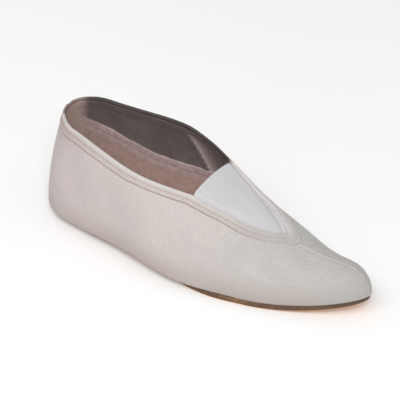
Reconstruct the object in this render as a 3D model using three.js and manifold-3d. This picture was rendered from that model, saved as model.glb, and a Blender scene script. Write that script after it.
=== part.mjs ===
import * as THREE from "three";
import { mergeVertices } from "three/addons/utils/BufferGeometryUtils.js";
import Module from "manifold-3d";

const wasm = await Module();
wasm.setup();

// Sizes are in millimetres and turns in radians. The heel is at x = 0 and the toe on +X, and +Z is up.
// A right shoe: its outer side is on -Y.
const LENGTH = 230;
const BALL_WIDTH = 88;
const CROWN_HEIGHT = 72.3;
const COLLAR_HEIGHT = 70;
const THROAT_AT = 0.505;
const OUTER_THROAT_HEIGHT = 54.4;
const INNER_THROAT_HEIGHT = 55.6;
const GORE_TIP_AT = 0.755;
const OUTER_EDGE_POWER = 0.95;
const INNER_EDGE_POWER = 0.85;
const THROAT_BLEND = 0.06;
const THROAT_KEEP = 2.7;
const WALL = 1.8;
const GAP = 0.3;

// The last's ends, lean and lift.
const HEEL_RADIUS = 26;
const HEEL_LIFT = 4;
const HEEL_LIFT_LENGTH = 12;
const HEEL_LEAN = 10.4;
const LEAN_REACH = 45;
const LEAN_HEIGHT = 60;
const TOE_TAPER = 73;
const TOE_POWER = 2;
const TOE_DROP = 16;
const TOE_SWING = 3.1;
const SWING_FROM = 0.6;
const SIDE_BEND = 1.2;
const TOE_SPRING = 8.3;
const SPRING_FROM = 0.72;
const ARCH_RISE = 1.8;
const ARCH_FROM = 0.17;
const ARCH_TO = 0.58;
const BEND_POWER = 1.5;

// Height of the widest line above the underside, and the power of the section's lower half.
const HEEL_WIDEST = 5.9;
const BALL_WIDEST = 3.4;
const TOE_WIDEST_SHARE = 0.35;
const WIDEST_RUN = 0.55;
const HEEL_LOWER_POWER = 3.6;
const BALL_LOWER_POWER = 7;
const LOWER_POWER_FROM = 0.4;
const LOWER_POWER_TO = 0.7;

// The sole, and the insole on the margin that the upper turns under itself.
const SOLE_THICKNESS = 3.2;
const SOLE_LIP = 0.8;
const SOLE_BEVEL = 0.7;
const HEEL_SETBACK = 7;
const BALL_SETBACK = 0.8;
const SETBACK_FROM = 0.45;
const SETBACK_TO = 0.67;
const TURNED_MARGIN = 12;
const INSOLE_THICKNESS = 1.8;

// Binding round the collar and the gore, and the seam along the toe.
const BINDING_WIDTH = 6.5;
const BINDING_RISE = 0.6;
const BINDING_POINT = 6;
const BINDING_OVERRUN = 0.05;
const SEAM_WIDTH = 3;
const SEAM_RISE = 0.5;
const SEAM_END_AT = 0.985;

// Elastic gore under the edges of the throat.
const GORE_THICKNESS = 1.3;
const GORE_DROP = 0.5;
const GORE_ARCH = 3;
const GORE_UNDERLAP = 6;

// Facets: sections along the length, and corners round one section.
const SECTIONS = 38;
const BELOW_WAIST = 5;
const UP_SIDE = 8;
const ACROSS_TOP = 6;
const ACROSS_GORE = 16;
const ACROSS_STRIP = 4;
const HEEL_END = 0.002;
const TOE_END = 0.996;
const TURN_STEP = 0.004;
const CLEAR_OF_SHOE = 60;
const CORNER_OVERRUN = 0.02;
const WIDEST_CORNER = 1;
const THINNEST = 0.2;
const SMALLEST = 0.05;

// Half widths as shares of the ball width, at shares of the length.
const PLAN = [
  { at: 0, outer: 0.313, inner: 0.29 },
  { at: 0.26, outer: 0.423, inner: 0.402 },
  { at: 0.52, outer: 0.526, inner: 0.476 },
  { at: 0.7, outer: 0.446, inner: 0.382 },
  { at: 0.86, outer: 0.366, inner: 0.267 },
  { at: 1, outer: 0.29, inner: 0.218 },
];

// Height of the closed last above the widest line, as a share of the crown height.
const CROWN = [
  { at: 0, height: 1 },
  { at: 0.2, height: 1 },
  { at: 0.5, height: 0.885 },
  { at: 0.62, height: 0.641 },
  { at: 0.76, height: 0.399 },
  { at: 0.88, height: 0.316 },
  { at: 0.97, height: 0.262 },
  { at: 1, height: 0.236 },
];

// Power of the section's upper half: 2 is an ellipse, and more is squarer.
const FULLNESS = [
  { at: 0, power: 3.3 },
  { at: 0.25, power: 3.3 },
  { at: 0.55, power: 1.54 },
  { at: 0.8, power: 2 },
  { at: 1, power: 2 },
];

// Side view of the collar edge on each side, as shares of the collar height.
const COLLAR = [
  { at: 0, outer: 1.002, inner: 1.002 },
  { at: 0.02, outer: 0.995, inner: 0.999 },
  { at: 0.05, outer: 0.989, inner: 0.989 },
  { at: 0.12, outer: 0.975, inner: 0.932 },
  { at: 0.24, outer: 0.928, inner: 0.907 },
  { at: 0.345, outer: 0.876, inner: 0.904 },
  { at: 0.41, outer: 0.843, inner: 0.843 },
  { at: THROAT_AT, outer: OUTER_THROAT_HEIGHT / COLLAR_HEIGHT, inner: INNER_THROAT_HEIGHT / COLLAR_HEIGHT },
];

const clamp = (value) => Math.min(Math.max(value, 0), 1);
const ease = (value) => clamp(value) ** 2 * (3 - 2 * clamp(value));
const mix = (a, b, share) => a + (b - a) * share;

// A smooth line through one column of a table, which never overshoots its rows.
function curve(rows, column) {
  const x = rows.map((row) => row.at);
  const y = rows.map((row) => row[column]);
  const end = x.length - 1;
  const width = (i) => x[i + 1] - x[i];
  const rise = (i) => (y[i + 1] - y[i]) / width(i);
  const slope = x.map((_, i) => {
    if (i === 0 || i === end) return rise(Math.min(i, end - 1));
    const before = rise(i - 1);
    const after = rise(i);
    if (before * after <= 0) return 0;
    const a = 2 * width(i) + width(i - 1);
    const b = width(i) + 2 * width(i - 1);
    return (a + b) / (a / before + b / after);
  });
  return (at) => {
    const spot = Math.min(Math.max(at, x[0]), x[end]);
    const i = Math.min(x.findLastIndex((value) => value <= spot), end - 1);
    const t = (spot - x[i]) / width(i);
    const bulge = slope[i] * (1 - t) ** 2 * t - slope[i + 1] * t ** 2 * (1 - t);
    return mix(y[i], y[i + 1], ease(t)) + bulge * width(i);
  };
}

const outerHalf = curve(PLAN, "outer");
const innerHalf = curve(PLAN, "inner");
const crown = curve(CROWN, "height");
const fullness = curve(FULLNESS, "power");
const outerCollar = curve(COLLAR, "outer");
const innerCollar = curve(COLLAR, "inner");

// Closing of the plan at the heel and the toe, and of the height at the toe.
function planClose(at) {
  const heel = clamp(1 - (at * LENGTH) / HEEL_RADIUS);
  const toe = clamp(1 - (LENGTH * (1 - at)) / TOE_TAPER);
  return Math.sqrt(1 - heel ** 2) * (1 - toe ** TOE_POWER) ** (1 / TOE_POWER);
}
const toeClose = (at) => Math.sqrt(1 - clamp(1 - (LENGTH * (1 - at)) / TOE_DROP) ** 2);

// Height of the upper's underside, and the sideways line that the sections stand on.
function underside(at) {
  const spring = TOE_SPRING * clamp((at - SPRING_FROM) / (1 - SPRING_FROM)) ** 2;
  const arch = ARCH_RISE * Math.sin(Math.PI * clamp((at - ARCH_FROM) / (ARCH_TO - ARCH_FROM))) ** 2;
  const lift = HEEL_LIFT * clamp(1 - (at * LENGTH) / HEEL_LIFT_LENGTH) ** 2;
  return SOLE_THICKNESS + spring + arch + lift;
}
function middle(at) {
  const swing = TOE_SWING * clamp((at - SWING_FROM) / (1 - SWING_FROM)) ** BEND_POWER;
  return SIDE_BEND * Math.sin(Math.PI * clamp(at)) + swing;
}
const halfWidth = (at, side, inset) =>
  ((side < 0 ? outerHalf(at) : innerHalf(at)) * BALL_WIDTH - inset) * planClose(at);

// Underside, widest line and crown of the section at one share of the length.
function levels(at, inset) {
  const below = mix(HEEL_WIDEST, BALL_WIDEST, ease(at / WIDEST_RUN));
  const widest = underside(at) + below * mix(TOE_WIDEST_SHARE, 1, toeClose(at));
  const top = widest + (crown(at) * CROWN_HEIGHT - below) * toeClose(at);
  return { low: underside(at) + inset, widest, top: Math.max(top - inset, widest + THINNEST) };
}

// A point of the last's skin. Turn 0 is the outer side, PI / 2 the top and PI the inner side.
function skin(at, turn, inset) {
  const across = Math.cos(turn);
  const upward = Math.sin(turn);
  const { low, widest, top } = levels(at, inset);
  const lowerShare = clamp((at - LOWER_POWER_FROM) / (LOWER_POWER_TO - LOWER_POWER_FROM));
  const power = upward >= 0 ? fullness(at) : mix(HEEL_LOWER_POWER, BALL_LOWER_POWER, lowerShare);
  const side = across > 0 ? -1 : 1;
  const y = side * halfWidth(at, side, inset) * Math.abs(across) ** (2 / power);
  const reach = Math.abs(upward) ** (2 / power);
  const z = mix(widest, upward >= 0 ? top : low, reach);
  const x = inset + at * (LENGTH - 2 * inset);
  const height = Math.max((z - widest) / LEAN_HEIGHT, 0);
  const lean = HEEL_LEAN * (clamp(1 - x / LEAN_REACH) * height) ** BEND_POWER;
  return [x + lean, middle(at) + y, z];
}

// Side view height of one side's edge of the collar and of the throat.
function edge(at, side) {
  if (at <= THROAT_AT) return (side < 0 ? outerCollar(at) : innerCollar(at)) * COLLAR_HEIGHT;
  const share = clamp((at - THROAT_AT) / (GORE_TIP_AT - THROAT_AT));
  const from = side < 0 ? OUTER_THROAT_HEIGHT : INNER_THROAT_HEIGHT;
  const power = side < 0 ? OUTER_EDGE_POWER : INNER_EDGE_POWER;
  return mix(from, levels(GORE_TIP_AT, 0).top, share ** power);
}

// Turn at which the skin of one side is as high as the edge.
function edgeTurn(at, side) {
  if (at >= GORE_TIP_AT) return Math.PI / 2;
  const { widest, top } = levels(at, 0);
  const turn = Math.asin(clamp((edge(at, side) - widest) / (top - widest)) ** (fullness(at) / 2));
  return side < 0 ? turn : Math.PI - turn;
}

// Turn at one distance along the skin from another turn, towards the ground.
function turnBelow(at, side, from, distance) {
  const step = TURN_STEP * side;
  let turn = from;
  let left = distance;
  while (left > 0 && Math.abs(turn - Math.PI / 2) < Math.PI / 2) {
    const a = skin(at, turn, 0);
    const b = skin(at, turn + step, 0);
    left -= Math.hypot(b[0] - a[0], b[1] - a[1], b[2] - a[2]);
    turn += step;
  }
  return turn;
}

const range = (count, from, to) => Array.from({ length: count + 1 }, (_, i) => mix(from, to, i / count));
const crowded = (count, from, to) =>
  range(count, 0, Math.PI).map((turn) => mix(from, to, (1 - Math.cos(turn)) / 2));

// Sections are crowded at the heel and the toe.
const SPOTS = crowded(SECTIONS, 0, 1);
const between = (from, to) => [from, ...SPOTS.filter((at) => at > from && at < to), to];

function solid(geometry) {
  const bare = new THREE.BufferGeometry().setAttribute("position", geometry.getAttribute("position"));
  const merged = mergeVertices(bare.setIndex(geometry.index), 1e-4);
  const vertProperties = new Float32Array(merged.attributes.position.array);
  const corners = merged.index.array;
  const triVerts = [];
  for (let i = 0; i < corners.length; i += 3) {
    const [a, b, c] = corners.subarray(i, i + 3);
    if (a !== b && b !== c && c !== a) triVerts.push(a, b, c);
  }
  const mesh = new wasm.Mesh({ numProp: 3, vertProperties, triVerts: new Uint32Array(triVerts) });
  return new wasm.Manifold(mesh);
}

// A closed body through rings of equal length, from the heel towards the toe.
function loft(rings, capped) {
  const flat = (ring) => ring.map((point) => new THREE.Vector2(point[1], point[2]));
  const middleRing = flat(rings[rings.length >> 1]);
  const turned = THREE.ShapeUtils.area(middleRing) > 0 ? rings : rings.map((ring) => [...ring].reverse());
  const size = rings[0].length;
  const faces = [];
  for (let i = 0; i + 1 < rings.length; i++)
    for (let k = 0; k < size; k++) {
      const next = (k + 1) % size;
      const [a, b, c, d] = [i * size + k, i * size + next, (i + 1) * size + next, (i + 1) * size + k];
      const across = new THREE.Vector3(...turned[i][k]).distanceTo(new THREE.Vector3(...turned[i + 1][next]));
      const back = new THREE.Vector3(...turned[i][next]).distanceTo(new THREE.Vector3(...turned[i + 1][k]));
      faces.push(...(across < back ? [a, b, c, a, c, d] : [a, b, d, b, c, d]));
    }
  const close = (ring, start, facing) => {
    const corners = flat(ring);
    for (const face of THREE.ShapeUtils.triangulateShape(corners, [])) {
      const ordered = THREE.ShapeUtils.area(face.map((i) => corners[i])) * facing > 0 ? face : face.reverse();
      faces.push(...ordered.map((i) => start + i));
    }
  };
  if (capped) {
    close(turned[0], 0, -1);
    close(turned.at(-1), (rings.length - 1) * size, 1);
  }
  const geometry = new THREE.BufferGeometry();
  geometry.setAttribute("position", new THREE.BufferAttribute(new Float32Array(turned.flat(2)), 3));
  geometry.setIndex(faces);
  return solid(geometry);
}

// Turns round one section, with a corner just past each edge of the throat and beside the toe seam.
function turnsAt(at) {
  const corner = (side) => {
    const past = Math.abs(edgeTurn(at, side) - Math.PI / 2) - CORNER_OVERRUN;
    const beside = Math.abs(turnBelow(at, side, Math.PI / 2, SEAM_WIDTH) - Math.PI / 2);
    return Math.PI / 2 + side * Math.min(Math.max(past, beside), WIDEST_CORNER);
  };
  const outer = corner(-1);
  const inner = corner(1);
  return [
    ...range(BELOW_WAIST, -Math.PI / 2, 0),
    ...range(UP_SIDE, 0, outer).slice(1),
    ...range(ACROSS_TOP, outer, inner).slice(1),
    ...range(UP_SIDE, inner, Math.PI).slice(1),
    ...range(BELOW_WAIST, Math.PI, 1.5 * Math.PI).slice(1, -1),
  ];
}

// The whole last, taken in by one distance.
const last = (inset) => loft(SPOTS.map((at) => turnsAt(at).map((turn) => skin(at, turn, inset))), false);

// A body of upright walls between two heights over the last's plan.
function slab(heelInset, sideInset, bottom, top, bevel = 0) {
  const rings = crowded(SECTIONS, 2 * HEEL_END, TOE_END).map((at) => {
    const x = heelInset + at * (LENGTH - heelInset - sideInset(1));
    const spot = x / LENGTH;
    const outer = middle(spot) - Math.max(halfWidth(at, -1, sideInset(spot)), THINNEST);
    const inner = middle(spot) + Math.max(halfWidth(at, 1, sideInset(spot)), THINNEST);
    const chamfer = Math.min(bevel, (inner - outer) / 4);
    return [
      [x, outer, bottom(spot) + bevel],
      [x, outer, top(spot)],
      [x, inner, top(spot)],
      [x, inner, bottom(spot) + bevel],
      [x, inner - chamfer, bottom(spot)],
      [x, outer + chamfer, bottom(spot)],
    ];
  });
  return loft(rings, true);
}

// A body between two lines of the side view, on one side of the shoe or right across it.
function sideBand(from, to, bottom, top, sides) {
  const spots = between(from, to);
  const outline = [
    ...spots.map((at) => new THREE.Vector2(at * LENGTH, bottom(at))),
    ...spots.reverse().map((at) => new THREE.Vector2(at * LENGTH, top(at))),
  ];
  const settings = { depth: sides.length * CLEAR_OF_SHOE, bevelEnabled: false };
  const shape = new THREE.ExtrudeGeometry(new THREE.Shape(outline), settings);
  return solid(shape.translate(0, 0, sides.includes(1) ? -CLEAR_OF_SHOE : 0).rotateX(Math.PI / 2));
}

// A strip raised on the skin, let into the wall below it.
function strip(spots, from, to, rise) {
  const rings = spots.map((at) => {
    const turns = range(ACROSS_STRIP, from(at), to(at));
    return [
      ...turns.map((turn) => skin(at, turn, -rise)),
      ...turns.reverse().map((turn) => skin(at, turn, WALL / 2)),
    ];
  });
  return loft(rings, true);
}

// The throat seen from above. It widens over a short run from the collar's inner edge to its outer edge.
function throat() {
  const spots = between(THROAT_AT, GORE_TIP_AT);
  const line = (side) =>
    spots.map((at) => {
      const keep = THROAT_KEEP * clamp(1 - (at - THROAT_AT) / THROAT_BLEND);
      return new THREE.Vector2(at * LENGTH, -skin(at, edgeTurn(at, side), 0)[1] - side * keep);
    });
  const outline = new THREE.Shape([...line(-1), ...line(1).reverse().slice(1)]);
  const shape = new THREE.ExtrudeGeometry(outline, { depth: CROWN_HEIGHT, bevelEnabled: false });
  return solid(shape.rotateX(Math.PI).translate(0, 0, CROWN_HEIGHT + levels(1, 0).top));
}

// Outsole: flat below the heel and the ball, set back at the heel and waist, cupped to the upper at its lip.
const forward = (at) => ease((at - SETBACK_FROM) / (SETBACK_TO - SETBACK_FROM));
const setback = (at) => mix(HEEL_SETBACK, BALL_SETBACK, forward(at));
const ground = (at) => underside(at) - SOLE_THICKNESS;
const tread = slab(HEEL_SETBACK, setback, ground, (at) => underside(at) + SOLE_LIP, SOLE_BEVEL);

// Its filler closes the opening underneath the upper.
const fillerInset = TURNED_MARGIN + GAP;
const fillerFoot = (at) => underside(at) - SOLE_THICKNESS / 2;
const filler = slab(fillerInset, () => fillerInset, fillerFoot, (at) => underside(at) + WALL);
const outsole = tread.subtract(last(-GAP)).add(filler);

// Binding: a strip round the collar and down both edges of the throat, to a point on the toe seam.
const bindingEnd = GORE_TIP_AT + BINDING_POINT / LENGTH;
function binding(side) {
  const top = (at) => edgeTurn(at, side) - BINDING_OVERRUN * side;
  const bottom = (at) => {
    const share = clamp((bindingEnd - at) / (bindingEnd - GORE_TIP_AT));
    return turnBelow(at, side, edgeTurn(at, side), Math.max(BINDING_WIDTH * share, SEAM_WIDTH / 2));
  };
  return strip(between(HEEL_END, bindingEnd), top, bottom, BINDING_RISE);
}
const seamEdge = (side) => (at) => turnBelow(at, side, Math.PI / 2, SEAM_WIDTH / 2);
const seam = strip(between(GORE_TIP_AT, SEAM_END_AT), seamEdge(-1), seamEdge(1), SEAM_RISE);

// Upper: one wall with the strips raised on it, open at the collar, the throat and underneath.
const aboveShoe = () => 2 * CROWN_HEIGHT;
const aboveEdge = (side) => sideBand(-CORNER_OVERRUN, GORE_TIP_AT, (at) => edge(at, side), aboveShoe, [side]);
const floorFoot = (at) => underside(at) - WALL;
const floorOpening = slab(TURNED_MARGIN, () => TURNED_MARGIN, floorFoot, (at) => underside(at) + 2 * WALL);
const outside = last(0).add(binding(-1)).add(binding(1)).add(seam);
const opened = outside.subtract(last(WALL)).subtract(aboveEdge(-1)).subtract(aboveEdge(1));
const upper = opened.subtract(throat()).subtract(floorOpening);

// Gore: a sheet under the wall beside the throat, arched across it.
function goreRing(at, drop) {
  const spot = Math.min(at, GORE_TIP_AT);
  const from = skin(at, edgeTurn(spot, -1), 0)[1];
  const to = skin(at, edgeTurn(spot, 1), 0)[1];
  const centre = (from + to) / 2;
  const half = Math.max((to - from) / 2, 1);
  const arch = GORE_ARCH * clamp((GORE_TIP_AT - at) / (GORE_TIP_AT - THROAT_AT));
  const x = at * LENGTH;
  const top = range(ACROSS_GORE, -half - GORE_UNDERLAP, half + GORE_UNDERLAP).map((y) => {
    const chord = mix(edge(spot, -1), edge(spot, 1), (y / half + 1) / 2);
    return [x, centre + y, chord - GORE_DROP - drop + arch * (1 - (y / half) ** 2)];
  });
  return [...top, [x, CLEAR_OF_SHOE, 0], [x, -CLEAR_OF_SHOE, 0]];
}
const goreEnd = GORE_TIP_AT + GORE_UNDERLAP / LENGTH;
function goreBody(inset, drop) {
  const spots = crowded(SECTIONS / 2, THROAT_AT, goreEnd);
  return last(inset).intersect(loft(spots.map((at) => goreRing(at, drop)), true));
}
const goreFrom = THROAT_AT + GAP / LENGTH;
const goreFoot = (at) => edge(at, -1) - GORE_UNDERLAP;
const goreReach = sideBand(goreFrom, goreEnd, goreFoot, aboveShoe, [-1, 1]);
const goreInside = goreBody(WALL + GAP + GORE_THICKNESS, GORE_THICKNESS);
const gore = goreBody(WALL + GAP, 0).subtract(goreInside).intersect(goreReach);

// Insole: a sheet on the turned margin.
const insoleFoot = (at) => underside(at) + WALL;
const insoleTop = (at) => underside(at) + WALL + GAP + INSOLE_THICKNESS;
const insole = last(WALL + GAP).intersect(slab(WALL, () => WALL, insoleFoot, insoleTop));

// A body's surface with edges too short for a solid drawn together.
function surface(body) {
  const { vertProperties, triVerts } = body.asOriginal().simplify(SMALLEST).getMesh();
  const point = (i) => new THREE.Vector3().fromArray(vertProperties, 3 * i);
  const same = Array.from({ length: vertProperties.length / 3 }, (_, i) => i);
  const root = (i) => (same[i] === i ? i : root(same[i]));
  for (let i = 0; i < triVerts.length; i++) {
    const next = triVerts[i % 3 === 2 ? i - 2 : i + 1];
    if (point(triVerts[i]).distanceTo(point(next)) < SMALLEST) same[root(next)] = root(triVerts[i]);
  }
  const faces = [];
  for (let i = 0; i < triVerts.length; i += 3) {
    const face = [...triVerts.subarray(i, i + 3)].map(root);
    if (new Set(face).size === 3) faces.push(...face);
  }
  const geometry = new THREE.BufferGeometry();
  geometry.setAttribute("position", new THREE.BufferAttribute(new Float32Array(vertProperties), 3));
  return geometry.setIndex(faces);
}

const group = new THREE.Group();
const pieces = [
  ["outsole", outsole, 0xd1945a, 0.7],
  ["upper", upper, 0xe9e4de, 0.75],
  ["gore", gore, 0xe6e4e4, 0.85],
  ["insole", insole, 0x9c837c, 0.9],
];
for (const [name, body, color, roughness] of pieces) {
  const mesh = new THREE.Mesh(surface(body), new THREE.MeshStandardMaterial({ color, roughness }));
  mesh.name = name;
  group.add(mesh);
}

// The shared frame: centred over the shoe's outline, standing on z = 0.
const box = new THREE.Box3().setFromObject(group);
const centre = box.getCenter(new THREE.Vector3());
for (const mesh of group.children) mesh.geometry.translate(-centre.x, -centre.y, -box.min.z);

export default group;
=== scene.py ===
import math
import bmesh
import bpy
import numpy as np
from mathutils import Matrix, Vector


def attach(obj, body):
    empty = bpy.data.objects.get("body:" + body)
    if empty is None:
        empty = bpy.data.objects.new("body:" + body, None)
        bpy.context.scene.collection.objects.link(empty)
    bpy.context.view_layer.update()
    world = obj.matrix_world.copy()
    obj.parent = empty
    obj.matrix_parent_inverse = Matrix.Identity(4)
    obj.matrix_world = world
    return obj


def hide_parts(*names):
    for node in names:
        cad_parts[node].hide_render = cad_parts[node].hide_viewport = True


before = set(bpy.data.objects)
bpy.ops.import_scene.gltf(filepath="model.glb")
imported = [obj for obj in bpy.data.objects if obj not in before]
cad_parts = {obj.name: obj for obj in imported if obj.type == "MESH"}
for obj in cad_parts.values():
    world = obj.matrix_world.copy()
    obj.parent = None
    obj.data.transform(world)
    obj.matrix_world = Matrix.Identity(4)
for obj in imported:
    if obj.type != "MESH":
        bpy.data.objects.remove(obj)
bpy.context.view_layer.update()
PI = math.pi
RNG = np.random.default_rng(7)

# Form of the slipper in millimetres, with the heel at x = 0. AT, FROM and TO are shares of the length.
# The outer side is -1 and the inner side is 1.
LENGTH, BALL_WIDTH, CROWN_HEIGHT, COLLAR_HEIGHT = 230.0, 88.0, 72.3, 70.0
THROAT_AT, TIP_AT = 0.505, 0.755
THROAT_HEIGHT = {-1: 54.4, 1: 55.6}
EDGE_POWER = {-1: 0.95, 1: 0.85}
WALL, GAP, SOLE = 1.8, 0.3, 3.2
HEEL_RADIUS, HEEL_LIFT, HEEL_LIFT_LENGTH = 26.0, 4.0, 12.0
HEEL_LEAN, LEAN_REACH, LEAN_HEIGHT = 10.4, 45.0, 60.0
TOE_TAPER, TOE_DROP, TOE_SPRING, SPRING_FROM = 73.0, 16.0, 8.3, 0.72
TOE_SWING, SWING_FROM, SIDE_BEND, BEND_POWER = 3.1, 0.6, 1.2, 1.5
ARCH_RISE, ARCH_FROM, ARCH_TO = 1.8, 0.17, 0.58
HEEL_WIDEST, BALL_WIDEST, TOE_WIDEST_SHARE, WIDEST_RUN = 5.9, 3.4, 0.35, 0.55
HEEL_LOWER_POWER, BALL_LOWER_POWER, LOWER_POWER_FROM, LOWER_POWER_TO = 3.6, 7.0, 0.4, 0.7
THINNEST = 0.2

# The frame has its origin under the middle of the shoe's box.
SIDE_SHIFT = 0.98266
SHIFT = np.array([-LENGTH / 2, SIDE_SHIFT, 0.0])


def smooth_line(at, values):
    """A monotone cubic through rows at shares of the length."""
    at, values = np.array(at, float), np.array(values, float)
    width = np.diff(at)
    rise = np.diff(values) / width
    slope = np.empty(len(at))
    slope[0], slope[-1] = rise[0], rise[-1]
    for i in range(1, len(at) - 1):
        a, b = 2 * width[i] + width[i - 1], width[i] + 2 * width[i - 1]
        turning = rise[i - 1] * rise[i] <= 0
        slope[i] = 0 if turning else (a + b) / (a / rise[i - 1] + b / rise[i])

    def value(spot):
        spot = np.clip(spot, at[0], at[-1])
        i = np.clip(np.searchsorted(at, spot, side="right") - 1, 0, len(at) - 2)
        t = (spot - at[i]) / width[i]
        bulge = slope[i] * (1 - t) ** 2 * t - slope[i + 1] * t**2 * (1 - t)
        return values[i] + (values[i + 1] - values[i]) * t * t * (3 - 2 * t) + bulge * width[i]

    return value


# Half widths as shares of the ball's width, and heights as shares of the crown's and the collar's.
PLAN_AT = [0, 0.26, 0.52, 0.7, 0.86, 1]
outer_half = smooth_line(PLAN_AT, [0.313, 0.423, 0.526, 0.446, 0.366, 0.29])
inner_half = smooth_line(PLAN_AT, [0.29, 0.402, 0.476, 0.382, 0.267, 0.218])
CROWN_AT = [0, 0.2, 0.5, 0.62, 0.76, 0.88, 0.97, 1]
crown = smooth_line(CROWN_AT, [1, 1, 0.885, 0.641, 0.399, 0.316, 0.262, 0.236])
fullness = smooth_line([0, 0.25, 0.55, 0.8, 1], [3.3, 3.3, 1.54, 2, 2])
COLLAR_AT = [0, 0.02, 0.05, 0.12, 0.24, 0.345, 0.41, THROAT_AT]
COLLAR = {
    -1: [1.002, 0.995, 0.989, 0.975, 0.928, 0.876, 0.843, THROAT_HEIGHT[-1] / COLLAR_HEIGHT],
    1: [1.002, 0.999, 0.989, 0.932, 0.907, 0.904, 0.843, THROAT_HEIGHT[1] / COLLAR_HEIGHT],
}
collar = {side: smooth_line(COLLAR_AT, heights) for side, heights in COLLAR.items()}


def clamp(v):
    return np.clip(v, 0.0, 1.0)


def ease(v):
    v = clamp(v)
    return v * v * (3 - 2 * v)


def mix(a, b, t):
    return a + (b - a) * t


def ridge(value, at, width):
    """A soft ridge of height 1 round one value."""
    return np.exp(-(((value - at) / width) ** 2))


def within(value, limit, slope):
    """1 below the limit and 0 above it, with a short slope between them."""
    return clamp((limit - value) / slope + 0.5)


def unit(v):
    return v / np.maximum(np.linalg.norm(v, axis=-1, keepdims=True), 1e-9)


def run_along(line):
    """Length from the first point of a line to each of its points."""
    return np.concatenate([[0], np.cumsum(np.linalg.norm(np.diff(line, axis=0), axis=1))])


def between(spots, known, values):
    """Points between the rows of values, which belong to the known places."""
    return np.stack([np.interp(spots, known, values[:, k]) for k in range(3)], -1)


def crowd(count, from_, to):
    """Places between two ends, closer together near both of them."""
    return mix(from_, to, (1 - np.cos(PI * np.linspace(0, 1, count))) / 2)


# The last that the upper is drawn over: its plan, its levels and its skin.
def plan_close(at):
    heel = clamp(1 - at * LENGTH / HEEL_RADIUS)
    toe = clamp(1 - LENGTH * (1 - at) / TOE_TAPER)
    return np.sqrt(1 - heel**2) * np.sqrt(1 - toe**2)


def toe_close(at):
    return np.sqrt(1 - clamp(1 - LENGTH * (1 - at) / TOE_DROP) ** 2)


def underside(at):
    spring = TOE_SPRING * clamp((at - SPRING_FROM) / (1 - SPRING_FROM)) ** 2
    arch = ARCH_RISE * np.sin(PI * clamp((at - ARCH_FROM) / (ARCH_TO - ARCH_FROM))) ** 2
    return SOLE + spring + arch + HEEL_LIFT * clamp(1 - at * LENGTH / HEEL_LIFT_LENGTH) ** 2


def middle(at):
    swing = TOE_SWING * clamp((at - SWING_FROM) / (1 - SWING_FROM)) ** BEND_POWER
    return SIDE_BEND * np.sin(PI * clamp(at)) + swing


def half_width(at, side, inset):
    share = np.where(side < 0, outer_half(at), inner_half(at))
    return (share * BALL_WIDTH - inset) * plan_close(at)


def levels(at, inset):
    """Heights of the bottom, of the widest place and of the crown."""
    below = mix(HEEL_WIDEST, BALL_WIDEST, ease(at / WIDEST_RUN))
    widest = underside(at) + below * mix(TOE_WIDEST_SHARE, 1, toe_close(at))
    top = widest + (crown(at) * CROWN_HEIGHT - below) * toe_close(at)
    return underside(at) + inset, widest, np.maximum(top - inset, widest + THINNEST)


def lower_power(at):
    run = LOWER_POWER_TO - LOWER_POWER_FROM
    return mix(HEEL_LOWER_POWER, BALL_LOWER_POWER, clamp((at - LOWER_POWER_FROM) / run))


def skin(at, turn, inset):
    """Points of the last's skin. A turn of 0 is the outer side's widest place, a quarter is the crown."""
    across, upward = np.cos(turn), np.sin(turn)
    low, widest, top = levels(at, inset)
    power = np.where(upward >= 0, fullness(at), lower_power(at))
    side = np.where(across > 0, -1, 1)
    y = side * half_width(at, side, inset) * np.abs(across) ** (2 / power)
    z = mix(widest, np.where(upward >= 0, top, low), np.abs(upward) ** (2 / power))
    x = inset + at * (LENGTH - 2 * inset)
    height = np.maximum((z - widest) / LEAN_HEIGHT, 0)
    lean = HEEL_LEAN * (clamp(1 - x / LEAN_REACH) * height) ** BEND_POWER
    return np.stack(np.broadcast_arrays(x + lean, middle(at) + y, z), -1)


def edge(at, side):
    """Height of the collar's edge, and in front of it of the throat's."""
    share = clamp((at - THROAT_AT) / (TIP_AT - THROAT_AT))
    throat = mix(THROAT_HEIGHT[side], levels(TIP_AT, 0)[2], share ** EDGE_POWER[side])
    behind = collar[side](np.minimum(at, THROAT_AT)) * COLLAR_HEIGHT
    return np.where(at <= THROAT_AT, behind, throat)


def edge_turn(at, side):
    """Turn at which the skin meets the edge, or the crown in front of the gore's tip."""
    _, widest, top = levels(at, 0)
    turn = np.arcsin(clamp((edge(at, side) - widest) / (top - widest)) ** (fullness(at) / 2))
    turn = np.where(at >= TIP_AT, PI / 2, turn)
    return turn if side < 0 else PI - turn


# Meshes are built in millimetres and placed in the frame's metres. There, points closer than MERGED are one
# point, and edges shorter than COLLAPSED are dropped.
MERGED, COLLAPSED = 2e-6, 1e-7


def make_mesh(name, points, faces, material, tones=None):
    mesh = bpy.data.meshes.new(name)
    placed = (np.asarray(points, float) + SHIFT) / 1000
    mesh.from_pydata(placed.tolist(), [], [tuple(f) for f in faces])
    mesh.validate()
    for key, values in (tones or {}).items():
        layer = mesh.attributes.new(key, "FLOAT", "POINT")
        layer.data.foreach_set("value", np.asarray(values, np.float32))
    mesh.polygons.foreach_set("use_smooth", [True] * len(mesh.polygons))
    mesh.update()
    obj = bpy.data.objects.new(name, mesh)
    bpy.context.scene.collection.objects.link(obj)
    obj.data.materials.append(material)
    return obj


def merge(obj, closed=False):
    """Joins coincident points, and turns the faces of a closed piece outwards."""
    b = bmesh.new()
    b.from_mesh(obj.data)
    bmesh.ops.remove_doubles(b, verts=b.verts, dist=MERGED)
    bmesh.ops.dissolve_degenerate(b, edges=b.edges, dist=COLLAPSED)
    if closed:
        bmesh.ops.recalc_face_normals(b, faces=b.faces)
    b.to_mesh(obj.data)
    b.free()
    return obj


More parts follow.
